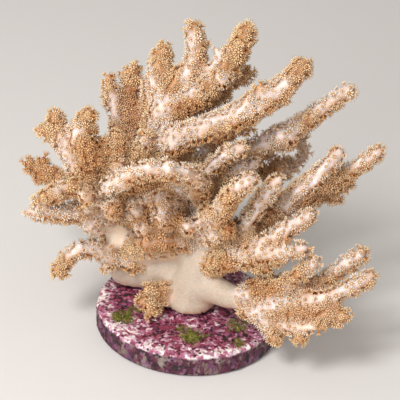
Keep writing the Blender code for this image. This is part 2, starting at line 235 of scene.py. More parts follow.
def ramp_of(nodes, links, value, stops):
    """Colours picked along a number: (position, (red, green, blue)) each."""
    made = nodes.new("ShaderNodeValToRGB")
    while len(made.color_ramp.elements) < len(stops):
        made.color_ramp.elements.new(1.0)
    for element, (position, colour) in zip(made.color_ramp.elements, stops):
        element.position = position
        element.color = (*colour, 1.0)
    links.new(value, made.inputs["Fac"])
    return made.outputs["Color"]


def share_of(nodes, links, value, low, high):
    """0 below low and 1 above high, with an even rise between."""
    made = nodes.new("ShaderNodeMapRange")
    made.inputs["From Min"].default_value = low
    made.inputs["From Max"].default_value = high
    links.new(value, made.inputs["Value"])
    return made.outputs["Result"]


def mixed(nodes, links, share, under, over):
    """The colour under, covered by the colour over as far as the share says."""
    made = nodes.new("ShaderNodeMix")
    made.data_type = "RGBA"
    for value, spot in ((share, made.inputs["Factor"]), (under, made.inputs["A"]), (over, made.inputs["B"])):
        if isinstance(value, tuple):
            spot.default_value = (*value, 1.0)
        elif isinstance(value, float):
            spot.default_value = value
        else:
            links.new(value, spot)
    return made.outputs["Result"]


def bumped(nodes, links, shader, height, distance, strength=1.0):
    bump = nodes.new("ShaderNodeBump")
    bump.inputs["Distance"].default_value = distance
    bump.inputs["Strength"].default_value = strength
    links.new(height, bump.inputs["Height"])
    links.new(bump.outputs["Normal"], shader.inputs["Normal"])


def cells_of(nodes, links, place, cells):
    """A pattern of cells, so many a metre, as its node."""
    made = nodes.new("ShaderNodeTexVoronoi")
    made.inputs["Scale"].default_value = cells
    links.new(place, made.inputs["Vector"])
    return made


def sum_of(nodes, links, operation, one, two):
    """Two numbers or sockets put together by a sum of some kind."""
    made = nodes.new("ShaderNodeMath")
    made.operation = operation
    for value, spot in ((one, made.inputs[0]), (two, made.inputs[1])):
        if isinstance(value, float):
            spot.default_value = value
        else:
            links.new(value, spot)
    return made.outputs["Value"]


def crust_patches(nodes, links, place, cells, lean, crusts):
    """Small crusts that each have one colour, with ragged edges, as a colour."""
    wander = nodes.new("ShaderNodeTexNoise")
    wander.inputs["Scale"].default_value = WANDER_WAVES
    wander.inputs["Detail"].default_value = WANDER_DETAIL
    links.new(place, wander.inputs["Vector"])
    drift = nodes.new("ShaderNodeVectorMath")
    drift.operation = "MULTIPLY_ADD"
    links.new(wander.outputs["Color"], drift.inputs[0])
    drift.inputs[1].default_value = (WANDER, WANDER, WANDER)
    links.new(place, drift.inputs[2])
    own = nodes.new("ShaderNodeSeparateColor")
    links.new(cells_of(nodes, links, drift.outputs["Vector"], cells).outputs["Color"], own.inputs["Color"])
    broad = share_of(nodes, links, noise_of(nodes, links, place, *BROAD), *BROAD_RISE)
    grain = share_of(nodes, links, noise_of(nodes, links, place, *GRAIN), *GRAIN_RISE)
    pattern = attribute_of(nodes, "paler_rim")
    for part, weight in ((broad, lean), (own.outputs["Red"], OWN_SHARE), (grain, 1 - OWN_SHARE - lean)):
        pattern = sum_of(nodes, links, "ADD", pattern, sum_of(nodes, links, "MULTIPLY", part, weight))
    violet = share_of(nodes, links, own.outputs["Green"], *VIOLET_RISE)
    violet = sum_of(nodes, links, "MULTIPLY", violet, VIOLET_SHARE)
    return mixed(nodes, links, violet, ramp_of(nodes, links, pattern, crusts), VIOLET)


def crust_material():
    made, nodes, links, shader = new_material("coralline_crust")
    place = place_of(nodes)
    parts = nodes.new("ShaderNodeSeparateXYZ")
    links.new(place, parts.inputs["Vector"])
    squeezed = nodes.new("ShaderNodeMapping")
    squeezed.inputs["Scale"].default_value = (1.0, 1.0, SIDE_SQUEEZE)
    links.new(place, squeezed.inputs["Vector"])
    top = crust_patches(nodes, links, place, TOP_CELLS, TOP_LEAN, TOP_CRUSTS)
    # The side takes the darker crusts, painted shade as well as their own colour.
    side = crust_patches(nodes, links, squeezed.outputs["Vector"], SIDE_CELLS, SIDE_LEAN, SHADED_SIDE_CRUSTS)
    on_top = share_of(nodes, links, parts.outputs["Z"], disc_high.z - TOP_FROM, disc_high.z - TOP_WHOLE)
    colour = mixed(nodes, links, on_top, side, top)
    # Painted shade: small dark spots where the crust has holes.
    pit_shade = share_of(nodes, links, cells_of(nodes, links, place, PIT_CELLS).outputs["Distance"], *PIT_RISE)
    rare = share_of(nodes, links, noise_of(nodes, links, place, *PITTED), *PITTED_RISE)
    colour = mixed(nodes, links, sum_of(nodes, links, "MULTIPLY", pit_shade, rare), colour, PIT_SHADE)
    green = ramp_of(nodes, links, noise_of(nodes, links, place, *STAINED), STAIN_GREENS)
    colour = mixed(nodes, links, attribute_of(nodes, "algae"), colour, green)
    links.new(colour, shader.inputs["Base Color"])
    shader.inputs["Roughness"].default_value = CRUST_ROUGHNESS
    bumped(nodes, links, shader, noise_of(nodes, links, place, *CRUST_RELIEF), CRUST_BUMP)
    return made


disc.data.materials.append(crust_material())
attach(disc, "root")
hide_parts("frag_disc")

# The algae
# Green algae have got hold in a few places on the disc's top. They stain its crust dark green, and stand on it as
# tufts of short soft threads that grip it by their feet.
# Each patch is its place as seen from the front, across and up from the disc's middle, its reach and its strength.
ALGAE = (
    ((-17.6, -3.4), 0.0030, 1.0), ((0.8, -8.4), 0.0032, 1.0), ((-2.0, -6.6), 0.0016, 0.9),
    ((13.4, -10.4), 0.0018, 0.9), ((13.2, -5.6), 0.0028, 0.8), ((-14.6, -1.6), 0.0018, 0.9),
)
SIGHT_REACH = 60
STAIN_EDGES = ((0.0016, 600), (0.0014, 1700))
STAIN_RAGGED = 1.6
STAIN_FADE = 0.0008
THREADS = 170
THREADED_REACH = 0.003
THREAD_SPILL = 1.05
THREAD_LENGTH = 0.0011
THREAD_LENGTHS = (0.4, 1.1)
THREAD_WIDTH = 0.00009
THREAD_TILT = 0.5
THREAD_TWIST = (3, 0.2)
THREAD_ROOT = 0.0003
RIM_LEFT_FREE = 0.0012
THREAD_SIDES = ((0, 1, 3), (1, 2, 3), (2, 0, 3), (0, 2, 1))
THREAD_PATTERN = (900, 2.0, 0.6)
THREAD_GREENS = ((0.36, (0.04, 0.05, 0.008)), (0.52, (0.17, 0.17, 0.02)), (0.66, (0.40, 0.36, 0.08)))
THREAD_ROUGHNESS = 0.5
rng = np.random.default_rng(3)


def on_disc(across, up):
    """The place on the disc's top that is seen there."""
    near, far = seen(across, up, -SIGHT_REACH), seen(across, up, SIGHT_REACH)
    return near.lerp(far, (disc_top.z - near.z) / (far.z - near.z))


algae_spots = [(on_disc(*spot), reach, strength) for spot, reach, strength in ALGAE]
stain = disc.data.attributes.new("algae", "FLOAT", "POINT")
for vertex in disc.data.vertices:
    ragged = sum(depth * noise.noise(vertex.co * waves) for depth, waves in STAIN_EDGES) * STAIN_RAGGED
    stain.data[vertex.index].value = max(
        strength * within_one((reach + ragged - (vertex.co - place).length) / STAIN_FADE)
        for place, reach, strength in algae_spots
    )
thread_corners = []
thread_faces = []
for place, reach, strength in algae_spots:
    for _ in range(int(THREADS * (reach / THREADED_REACH) ** 2)):
        turn = rng.uniform(0, 2 * math.pi)
        outwards = Vector((math.cos(turn), math.sin(turn), 0))
        foot = place + outwards * reach * math.sqrt(rng.uniform(0, 1)) * THREAD_SPILL
        if foot.xy.length > disc_radius - RIM_LEFT_FREE:
            continue
        grow = Vector((rng.normal(0, THREAD_TILT), rng.normal(0, THREAD_TILT), 1)).normalized()
        grow = grow * THREAD_LENGTH * rng.uniform(*THREAD_LENGTHS)
        twist, tip = THREAD_TWIST
        flat = Vector((math.cos(turn * twist), math.sin(turn * twist), tip))
        side = grow.cross(flat).normalized() * THREAD_WIDTH
        back = grow.cross(side).normalized() * THREAD_WIDTH
        foot = foot - Vector((0, 0, THREAD_ROOT))
        start = len(thread_corners)
        thread_corners.extend([foot + side, foot - side * 0.5 + back, foot - side * 0.5 - back, foot + grow])
        thread_faces.extend([start + corner for corner in face] for face in THREAD_SIDES)
tufts_mesh = bpy.data.meshes.new("algae_tufts")
tufts_mesh.from_pydata(thread_corners, [], thread_faces)
tufts = bpy.data.objects.new("algae_tufts", tufts_mesh)
bpy.context.scene.collection.objects.link(tufts)
thread_green, nodes, links, shader = new_material("algae_threads")
thread_pattern = noise_of(nodes, links, place_of(nodes), *THREAD_PATTERN)
links.new(ramp_of(nodes, links, thread_pattern, THREAD_GREENS), shader.inputs["Base Color"])
shader.inputs["Roughness"].default_value = THREAD_ROUGHNESS
tufts.data.materials.append(thread_green)
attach(tufts, "root")

# The flesh
# One soft body: a smooth cream stalk that spreads over the disc, and forks again and again into fingers. The
# forks flow into each other, so it is grown from all the solids at once, a polyp's height inside their skins
# wherever polyps stand on it, and right up to them where the flesh is bare.
SKIN_VOXEL = 0.0005
FORK_GAP = 0.0008
POLYP_ROOM = 0.0010
INNER_BAND = 0.0030
SOFTENING, SOFTENING_ROUNDS = 0.5, 3
ROUNDING, ROUNDING_ROUNDS = 0.7, 24
LOBE_DEPTH, LOBE_SIZE = 0.0006, 0.004
# Polyps begin at these heights on the stalk, by how far across it they stand, and thicken over this fade.
COVER_ACROSS = (-0.022, -0.008, 0.001, 0.005)
COVER_HEIGHTS = (0.0155, 0.021, 0.0245, 0.034)
COVER_FADE = (-0.001, 0.003)
COVER_RINGS = 12
# How much flesh lies near a place, against the middle amount, tells tips, thin fingers and hollows apart.
NEAR = 0.0042
SAMPLE_STEP = 6
TIP_FLESH, THIN_FLESH, HOLLOW_FLESH = (0.86, 0.6), (1.0, 0.7), (1.05, 1.5)
TIP_RINGS, HOLLOW_RINGS, PAINT_RINGS = 3, 6, 2
BARED = 0.9
BARE_CORE, SWOLLEN_CORE = 0.5, 0.6
THIN_SWELLING, MOST_SWELLING = 0.5, 2
# The tables hold places read off as seen from the front: millimetres across and up from the middle of the disc's
# top. A spot is its place, its reach in metres and its amount. A stroke is a half width in millimetres and then
# its points.
# Bare spots hold no polyps, and their flesh is painted lighter as well: painted light.
BARE_SPOTS = (
    ((-20.2, 18.6), 0.0058, 1.0), ((-7.8, 52.5), 0.0034, 0.55),
)
SWELLINGS = (
    ((25, 41), 0.0064, 1.0), ((26.4, 44), 0.0036, 1.8), ((26, 36.8), 0.0036, 1.8), ((-33, 28), 0.0055, 1.0),
    ((-36, 29), 0.004, 1.0), ((-27.5, 45), 0.0045, 2.0), ((-22, 43), 0.005, 2.0), ((-24, 41), 0.004, 2.0),
)
# Pale stripes run along the lit upper sides of the fingers: sparser polyps on pale flesh, partly a painted
# highlight.
PALE_STRIPES = (
    (1.3, (-9, 48.3), (-4.4, 46.1), (1, 46.9)), (0.8, (-6.5, 43.4), (-1.9, 43.8)),
    (1.2, (-30.9, 46.9), (-33.6, 42.9), (-32.5, 37.5)), (0.7, (-37.9, 43.7), (-35.2, 39.4)),
    (1.0, (-42.7, 24.8), (-37.3, 25.8), (-31.4, 24.5)), (0.8, (-28.7, 29.1)), (0.8, (-31.4, 26.6)),
    (0.8, (-26.5, 24.8)), (0.7, (-35.7, 30.7), (-31.9, 33.9)),
    (1.1, (-31.9, 14.5), (-27.9, 16.1), (-24.4, 14.2), (-21.7, 11.2)), (0.7, (-22.5, 12.9), (-17.1, 11)),
    (0.7, (-20.3, 56.1), (-19.8, 50.2)),
    (1.2, (-20.6, 32.3), (-19, 34.8), (-15.7, 36.6), (-10.3, 37.7),
     (-5.4, 37.5), (-1.7, 36.6), (1.6, 34.2), (4, 32.6)),
    (1.4, (-23.8, 27.2), (-21.7, 30.7), (-18.7, 31.5)), (0.9, (-16.8, 23.7), (-13, 26.1)),
    (0.9, (-11.7, 28.8), (-7.6, 29.1)), (1.2, (-8.2, 23.7)), (0.8, (-5.4, 20.4)), (1.0, (-0.6, 21)),
    (0.7, (-2.2, 16.9)), (1.5, (-9.8, 58.3), (-8.2, 55), (-7.3, 51.8)), (0.8, (-10.3, 63.7), (-9.8, 59.1)),
    (0.8, (-4.6, 55), (-0.9, 56.4), (2.4, 58.3)), (1.1, (4.8, 62.1), (6.7, 65.3), (9.1, 68.3)),
    (0.9, (-0.6, 61), (0.5, 65.3), (0.5, 69.6), (1.3, 72.3)), (0.8, (9.1, 60.7), (11.3, 61.2)),
    (1.1, (-0.6, 49.1), (3.2, 49.1), (7.3, 50.2), (14, 52.3), (18.3, 54.2)),
    (0.9, (20, 55.6), (23.5, 57.7), (25.9, 59.9)), (1.1, (-7.6, 43.4), (-1.7, 44.2)),
    (0.8, (-13, 43.9), (-10.9, 42.9)), (1.1, (3.5, 41.2)), (0.9, (5.1, 35.8), (7, 38.3)),
    (0.9, (8.6, 39.9), (14, 41.8)), (1.1, (13.7, 36.9), (18.1, 38.8)), (0.5, (10.8, 35.8)),
    (1.2, (26.4, 47.7), (28.1, 49.4), (30.2, 50.7), (33.5, 52.9),
     (37.3, 55.3), (41, 57.7), (43.7, 59.1)),
    (0.8, (27.5, 47.7), (29.4, 45)), (0.8, (20, 47.5), (23.5, 48.8)), (0.7, (22.1, 40.4)),
    (1.1, (7.5, 26.4), (8.9, 29.9), (12.1, 32.3), (16.7, 33.9)),
    (1.0, (18.3, 23.9), (20.8, 28), (23.5, 31.5), (25.9, 33.4)),
    (1.1, (26.2, 26.4), (30.2, 29.9), (34.3, 33.4), (37.8, 37.2), (41.6, 40.2)),
    (0.8, (43.2, 37.2), (46.4, 38.8), (50.8, 41)), (1.2, (15.1, 21), (17.3, 22.3)),
    (1.1, (18.6, 15.8), (23.5, 19.6), (27.5, 22.1), (32.9, 24.8)),
    (1.0, (18.3, 14.5), (24.3, 14.5), (30.5, 15.6)), (0.7, (12.1, 14.5), (14.8, 12.6)),
    (1.0, (27.5, 3.7), (31.6, 6.6), (34.8, 10.4)), (0.8, (30.2, 1), (33.5, 1.2), (36.2, 1.8)),
    (1.0, (35.1, 7.2), (38.3, 9.1), (41.3, 10.7), (45.4, 13.1)),
    (0.9, (39.7, 2.3), (43.2, 4.2), (48.1, 7.5)), (1.0, (20.8, -0.6), (25.1, 0.7), (29.7, 3.4)),
    (1.0, (15.6, 1.8)), (1.0, (16.7, -1.7), (19.1, -3.4)), (0.8, (25.9, -5.8), (30.2, -6.3), (33.2, -6.1)),
    (1.6, (5.1, 22.1), (6.4, 19.4)), (1.9, (-22.5, 31), (-24.2, 25.5), (-22, 20.5)),
    (1.7, (1.2, 25), (3.4, 16.4)), (1.2, (-5.6, 25.6), (-8.4, 23.4)), (1.1, (-3, 27.2)),
    (1.2, (-14.6, 27.6)), (1.3, (-13.4, 20.6)), (1.3, (-3.2, 30.6), (0.6, 28.4)),
    (1.6, (-28.4, 20.4), (-25.4, 19.2)), (1.3, (13.5, 3.7), (17.5, -1.5), (21, -6.1)),
    (1.3, (29.4, 44.8), (31.6, 43), (32.4, 40.4), (30.8, 37.4), (27.6, 36.6)),
    (1.4, (19.4, 43.8), (26.2, 46.6)),
)
# Brown folds are brown polyps of their own, and painted shade in the creases as well.
BROWN_AND_SHADED_FOLDS = (
    (2.4, (17.3, 5), (16.7, -0.1)), (2.2, (10.2, 11.2), (12.9, 8.5)), (1.9, (10.8, 22.1), (11.3, 18.3)),
    (1.5, (21.6, 23.1), (22.9, 26.6), (24.8, 30.7)), (2.4, (-3.6, 53.4), (4.8, 52.9)),
    (1.4, (4.6, 42.6), (9.1, 44.8), (14.6, 47.7)), (1.9, (-14.6, 57.2), (-14.1, 49.1)),
    (2.2, (-27.1, 42.6), (-26.5, 35.6)), (2.2, (-20.3, 26.1)), (1.6, (-24.9, 44.2), (-22.7, 38.8)),
    (1.2, (-5.4, 57.2), (-2.7, 57.2)), (1.4, (13.5, 57.2)), (1.4, (30.8, -3.4), (33.5, -3.4)),
    (1.2, (41, 7.7)), (1.2, (31, 3.7)), (1.6, (22.1, 15.6), (27.5, 16.9)), (1.6, (-18.4, 41.5)),
    (1.9, (12.9, 28), (11.8, 24.8)), (1.4, (-6, 14.8)), (1.6, (0.5, 42.6), (-2.7, 41.5)),
    (1.9, (3.2, 29.1), (-0.6, 24.2)), (1.6, (19.4, 35.6), (22.7, 36.1)),
    (1.7, (-15.7, 33.2), (-7.8, 34.2), (0.2, 31.4)), (1.8, (17.2, 4.4), (21, 2.6), (25, 3.6)),
)
RING_FIELDS = (
    (2.8, (-10, 45.6), (-3.6, 43.6), (2.4, 44.4)), (2.0, (-20.8, 34), (-23, 27)),
    (2.0, (6, 45.4), (12, 46.6)), (1.8, (-12.8, 51.6), (-12.2, 46.4)), (1.8, (-27.4, 31.6), (-25.6, 27.4)),
    (1.6, (-15.4, 19.4), (-9, 19.2)), (1.5, (-12.4, 16.6), (-4, 16.6)),
)
branch_names = sorted(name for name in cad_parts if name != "frag_disc")
deselect()
copies = []
for name in branch_names:
    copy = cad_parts[name].copy()
    copy.data = copy.data.copy()
    copy.parent = None
    for key in list(copy.keys()):
        del copy[key]
    bpy.context.scene.collection.objects.link(copy)
    copies.append(copy)
owners = []
corners = []
triangles = []
for number, copy in enumerate(copies):
    start = len(corners)
    corners.extend(vertex.co.copy() for vertex in copy.data.vertices)
    triangles.extend([start + v for v in face.vertices] for face in copy.data.polygons)
    owners.extend([number] * len(copy.data.polygons))
solids = BVHTree.FromPolygons(corners, triangles)


def struck(surface, across, up):
    """The place on a surface that is seen there, or None."""
    return surface.ray_cast(eye, (seen(across, up, 0) - eye).normalized())[0]


def owner_of(points):
    """For each point, the number of the branch whose solid lies nearest."""
    return np.array([owners[solids.find_nearest(point)[2]] for point in points])


for copy in copies:
    copy.select_set(True)
bpy.context.view_layer.objects.active = copies[0]
bpy.ops.object.join()
skin = bpy.context.object
skin.name = "coral_skin"
bpy.ops.object.mode_set(mode="EDIT")
bpy.ops.mesh.select_all(action="SELECT")
bpy.ops.mesh.remove_doubles(threshold=SAME_PLACE)
bpy.ops.object.mode_set(mode="OBJECT")
displace(skin, "closes_forks", FORK_GAP)
remesh(skin, "one_skin", SKIN_VOXEL)
apply_all(skin)
filling = bpy.data.objects.new("coral_filling", bpy.data.volumes.new("coral_filling"))
bpy.context.scene.collection.objects.link(filling)
fill = filling.modifiers.new("fill", "MESH_TO_VOLUME")
fill.object = skin
fill.resolution_mode = "VOXEL_SIZE"
fill.voxel_size = SKIN_VOXEL
fill.interior_band_width = INNER_BAND
deselect()
bpy.ops.mesh.primitive_cube_add(size=MM)
flesh = bpy.context.object
flesh.name = "coral_flesh"
core = flesh.modifiers.new("core", "VOLUME_TO_MESH")
core.object = filling
core.threshold = (FORK_GAP + POLYP_ROOM) / INNER_BAND
soften = flesh.modifiers.new("soften", "SMOOTH")
soften.factor = SOFTENING
soften.iterations = SOFTENING_ROUNDS
apply_all(flesh)
bpy.data.objects.remove(filling)
bpy.data.objects.remove(skin)


def keep_largest(piece):
    """Deletes every loose scrap but the largest body."""
    shape = bmesh.new()
    shape.from_mesh(piece.data)
    unseen = set(shape.verts)
    bodies = []
    while unseen:
        reached = [unseen.pop()]
        body = []
        while reached:
            vertex = reached.pop()
            body.append(vertex)
            for edge in vertex.link_edges:
                other = edge.other_vert(vertex)
                if other in unseen:
                    unseen.remove(other)
                    reached.append(other)
        bodies.append(body)
    bodies.sort(key=len)
    for body in bodies[:-1]:
        bmesh.ops.delete(shape, geom=body, context="VERTS")
    shape.to_mesh(piece.data)
    shape.free()


keep_largest(flesh)


def vectors(data, attribute):
    """An attribute of every item, such as its place or normal, as rows of three numbers."""
    flat = np.empty(len(data) * 3, np.float32)
    data.foreach_get(attribute, flat)
    return flat.reshape(-1, 3).astype(float)


def spread_out(values, edges, rounds):
    """Evens a value of every vertex out over its neighbours, so many rings of them far."""
    count = np.bincount(edges.ravel(), minlength=len(values)).clip(1)
    for _ in range(rounds):
        total = np.bincount(edges[:, 0], values[edges[:, 1]], len(values))
        total += np.bincount(edges[:, 1], values[edges[:, 0]], len(values))
        values = (values + total / count) / 2
    return values


def rise(value, low, high):
    """0 below low and 1 above high, with a soft rise between."""
    share = np.clip((value - low) / (high - low), 0, 1)
    return share * share * (3 - 2 * share)


def tree_of(points):
    """The points, sorted so that near ones are found fast."""
    tree = KDTree(len(points))
    for index, point in enumerate(points):
        tree.insert(point, index)
    tree.balance()
    return tree


def nearness(spot, reach, core):
    """1 in the core of the reach round the place that is seen there, and 0 beyond the reach."""
    middle = struck(solids, *spot) or seen(*spot, 0)
    return rise(np.linalg.norm(places - np.array(middle), axis=1), reach, reach * core)


places = vectors(flesh.data.vertices, "co")
owner = owner_of(places)
edge_ends = np.empty(len(flesh.data.edges) * 2, np.int32)
flesh.data.edges.foreach_get("vertices", edge_ends)
edge_ends = edge_ends.reshape(-1, 2)
begin, whole = (np.interp(places[:, 0], COVER_ACROSS, COVER_HEIGHTS) + fade for fade in COVER_FADE)
covered = np.where(owner == branch_names.index("stalk"), rise(places[:, 2], begin, whole), 1.0)
sampled = places[::SAMPLE_STEP]
tree = tree_of(sampled)
near_count = np.array([len(tree.find_range(place, NEAR)) for place in sampled])
surround = near_count[[tree.find(place)[1] for place in places]] / np.median(near_count)
tips = spread_out(rise(surround, *TIP_FLESH), edge_ends, TIP_RINGS)
thin = spread_out(rise(surround, *THIN_FLESH), edge_ends, TIP_RINGS)
hollow_shade = spread_out(rise(surround, *HOLLOW_FLESH), edge_ends, HOLLOW_RINGS)
bare_and_lit_patch = np.zeros(len(places))
for spot, reach, amount in BARE_SPOTS:
    bare_and_lit_patch = np.maximum(bare_and_lit_patch, amount * nearness(spot, reach, BARE_CORE))
covered = spread_out(covered * (1 - BARED * bare_and_lit_patch), edge_ends, COVER_RINGS)
outward = np.maximum(1 - covered, THIN_SWELLING * thin)
for spot, reach, amount in SWELLINGS:
    outward = np.maximum(outward, amount * nearness(spot, reach, SWOLLEN_CORE))
# A vertex group holds no more than 1, so a swelling is held there as a share of the most.
for name, shares in (("swollen", outward / MOST_SWELLING), ("smooth_stalk", 1 - covered), ("lobed", covered)):
    group = flesh.vertex_groups.new(name=name)
    for index, share in enumerate(shares):
        group.add([index], float(share), "REPLACE")
displace(flesh, "swollen", MOST_SWELLING * POLYP_ROOM, "swollen")
rounded = flesh.modifiers.new("rounded", "SMOOTH")
rounded.factor = ROUNDING
rounded.iterations = ROUNDING_ROUNDS
rounded.vertex_group = "smooth_stalk"
displace(flesh, "lobes", LOBE_DEPTH, "lobed", LOBE_SIZE)
apply_all(flesh)
flesh.data.shade_smooth()

MOTTLED, STALK = (110, 5.0, 0.7), ((0.35, (0.43, 0.345, 0.265)), (0.65, (0.49, 0.41, 0.335)))
# Hollows and sides that face away from the light are tinted warm pinkish brown: painted shade.
STALK_SHADE_IN_HOLLOWS = (0.62, 0.37, 0.24)
# Bare patches lie in the shadow of the fingers above. This lighter colour is painted light on them.
STALK_LIT_BARE_PATCH = (0.88, 0.75, 0.60)
SPECKLED, SPECKLE_RISE = (1900, 3.0, 0.7), (0.42, 0.72)
SPECKLE, SPECKLE_SHARE = (0.70, 0.62, 0.53), 0.3
BETWEEN_PATTERN, BETWEEN = (300, 3.0, 0.6), ((0.35, (0.40, 0.20, 0.090)), (0.65, (0.55, 0.32, 0.165)))
BETWEEN_IN_SHADE = (0.36, 0.145, 0.05)
PALE_PATTERN, PALE = (400, 3.0, 0.6), ((0.35, (0.72, 0.59, 0.52)), (0.65, (0.83, 0.77, 0.79)))
# Pale flesh in hollows and in shade is tinted warmer and darker: painted shade.
PALE_SHADE_IN_HOLLOWS = (0.82, 0.63, 0.50)
PALE_IN_SHADE = (0.82, 0.61, 0.46)
FLESH_RELIEF, FLESH_BUMP, FLESH_BUMP_STRENGTH = (1500, 4.0, 0.7), 0.0003, 0.6
FLESH_ROUGHNESS = 0.42
FLESH_DEPTH, FLESH_DEPTHS, FLESH_DEPTH_SCALE = 0.5, (1.0, 0.5, 0.3), 0.0015


def make_soft(shader, roughness, weight, radius, scale):
    """Lets light into soft tissue, deepest for red."""
    shader.inputs["Roughness"].default_value = roughness
    shader.inputs["Subsurface Weight"].default_value = weight
    shader.inputs["Subsurface Radius"].default_value = radius
    shader.inputs["Subsurface Scale"].default_value = scale


def flesh_material():
    made, nodes, links, shader = new_material("soft_flesh")
    place = place_of(nodes)
    in_rust_and_shade = attribute_of(nodes, "polyp_rust_and_shade")
    painted_shade = attribute_of(nodes, "flesh_painted_shade")
    stalk = ramp_of(nodes, links, noise_of(nodes, links, place, *MOTTLED), STALK)
    # Painted shade: hollows and sides away from the light are tinted warm brown.
    stalk = mixed(nodes, links, painted_shade, stalk, STALK_SHADE_IN_HOLLOWS)
    speckle = share_of(nodes, links, noise_of(nodes, links, place, *SPECKLED), *SPECKLE_RISE)
    stalk = mixed(nodes, links, sum_of(nodes, links, "MULTIPLY", speckle, SPECKLE_SHARE), stalk, SPECKLE)
    # Painted light: the bare patches are lighter than the rest of the stalk.
    stalk = mixed(nodes, links, attribute_of(nodes, "bare_and_lit_patch"), stalk, STALK_LIT_BARE_PATCH)
    between = ramp_of(nodes, links, noise_of(nodes, links, place, *BETWEEN_PATTERN), BETWEEN)
    between = mixed(nodes, links, in_rust_and_shade, between, BETWEEN_IN_SHADE)
    pale = ramp_of(nodes, links, noise_of(nodes, links, place, *PALE_PATTERN), PALE)
    pale = mixed(nodes, links, painted_shade, pale, PALE_SHADE_IN_HOLLOWS)
    pale = mixed(nodes, links, in_rust_and_shade, pale, PALE_IN_SHADE)
    fingers = mixed(nodes, links, attribute_of(nodes, "polyp_crowd"), pale, between)
    colour = mixed(nodes, links, attribute_of(nodes, "polyp_cover"), stalk, fingers)
    links.new(colour, shader.inputs["Base Color"])
    make_soft(shader, FLESH_ROUGHNESS, FLESH_DEPTH, FLESH_DEPTHS, FLESH_DEPTH_SCALE)
    relief = noise_of(nodes, links, place, *FLESH_RELIEF)
    bumped(nodes, links, shader, relief, FLESH_BUMP, FLESH_BUMP_STRENGTH)
    return made


# Flesh is pale where strokes are painted on the seen side: polyps stand sparser there on pale flesh, and the white
# along the lit upper sides is partly a painted highlight. Behind, it is painted pale where it faces the light, a
# painted highlight, and polyps stand sparser there too.
PATCH_WAVES = 220
PATCHINESS = 0.3
LIT_FROM = np.array((-0.48, -0.42, 0.77))
LIT_LEAST, LIT_LEAST_ABOVE, LIT_HEIGHTS, LIT_FADE = 0.52, 0.12, (0.040, 0.058), 0.5
BEHIND_FADE = (0.0, 0.4)
SHADE_FADE, HOLLOW_SHADE_FADE = (-0.35, 0.55), (-0.3, 0.6)
STROKE_STEP, STROKE_CORE = 0.6, 0.4
PALE_SPREAD, CREAM_SPREAD, RING_SPREAD, FOLD_SPREAD = 1.9, 3.0, 1.5, 1.4
PALE_LESS_AT_TIPS, CREAM_LESS_AT_TIPS, SHADE_LESS_AT_TIPS = 0.25, 0.15, 0.7
PALE_THINS, RINGS_THIN, PALE_HIDES_RUST_AND_SHADE = 0.9, 0.7, 0.9
ARCH_PLACE, ARCH_REACH = (-8, 25, 0), (0.0125, 0.02, 0.0105)
ARCH_FADE, ARCH_RINGS = (1.15, 0.75), 3
RINGS_CROWD, CREAM_UNCROWDS, SHADE_SHARE = 0.3, 0.75, 0.7
HOLLOW_SHARE, HOLLOW_SHADE_SHARE = 0.8, 0.7
places = vectors(flesh.data.vertices, "co")
normals = vectors(flesh.data.vertices, "normal")
patchy = np.array([noise.noise(Vector(place) * PATCH_WAVES) for place in places])
facing_light = (normals * LIT_FROM).sum(1)
least = LIT_LEAST + LIT_LEAST_ABOVE * rise(places[:, 2], *LIT_HEIGHTS)
lit_side = rise(facing_light + PATCHINESS * patchy, least, least + LIT_FADE)
unseen_side = rise((normals * np.array(away)).sum(1), *BEHIND_FADE)
flesh_surface = BVHTree.FromObject(flesh, bpy.context.evaluated_depsgraph_get())
all_places = tree_of(places)


def painted(strokes, spread):
    """1 along strokes seen in front, each a half width and then its points, fading out over so many of them."""
    paint = np.zeros(len(places))
    for half_width, *points in strokes:
        reach = half_width * MM * spread
        for start, end in zip(points, points[1:] or points):
            steps = int(math.dist(start, end) / STROKE_STEP) + 1
            for step in range(steps + 1):
                hit = struck(flesh_surface, *Vector(start).lerp(Vector(end), step / steps))
                for _, index, distance in all_places.find_range(hit, reach) if hit else ():
                    paint[index] = max(paint[index], rise(distance, reach, reach * STROKE_CORE))
    return spread_out(paint, edge_ends, PAINT_RINGS)


lit_pale_behind = lit_side * unseen_side * (1 - tips)
pale = np.maximum(painted(PALE_STRIPES, PALE_SPREAD) * (1 - PALE_LESS_AT_TIPS * tips), lit_pale_behind)
creamy = np.maximum(painted(PALE_STRIPES, CREAM_SPREAD) * (1 - CREAM_LESS_AT_TIPS * tips), lit_pale_behind)
ringed = painted(RING_FIELDS, RING_SPREAD)
crowding = covered * (1 - PALE_THINS * np.maximum(pale, RINGS_THIN * ringed))
# Painted shade: flesh and polyps are browner on sides away from the light. Under the arch and along the folds they
# are browner still, their own rusty brown and painted shade.
shade = (1 - rise(facing_light, *SHADE_FADE)) * (1 - SHADE_LESS_AT_TIPS * tips)
under_arch = np.linalg.norm((places - np.array(seen(*ARCH_PLACE))) / ARCH_REACH, axis=1)
arch_rust_and_shade = spread_out(rise(under_arch, *ARCH_FADE), edge_ends, ARCH_RINGS)
rust_and_shade = np.maximum(arch_rust_and_shade, painted(BROWN_AND_SHADED_FOLDS, FOLD_SPREAD)) * (1 - PALE_HIDES_RUST_AND_SHADE * pale)
crowding[owner == branch_names.index("foot_bud")] = 1.0
in_shadow = owner == branch_names.index("back_left_branch")
crowding[in_shadow] = 1.0
shade[in_shadow] = 1.0
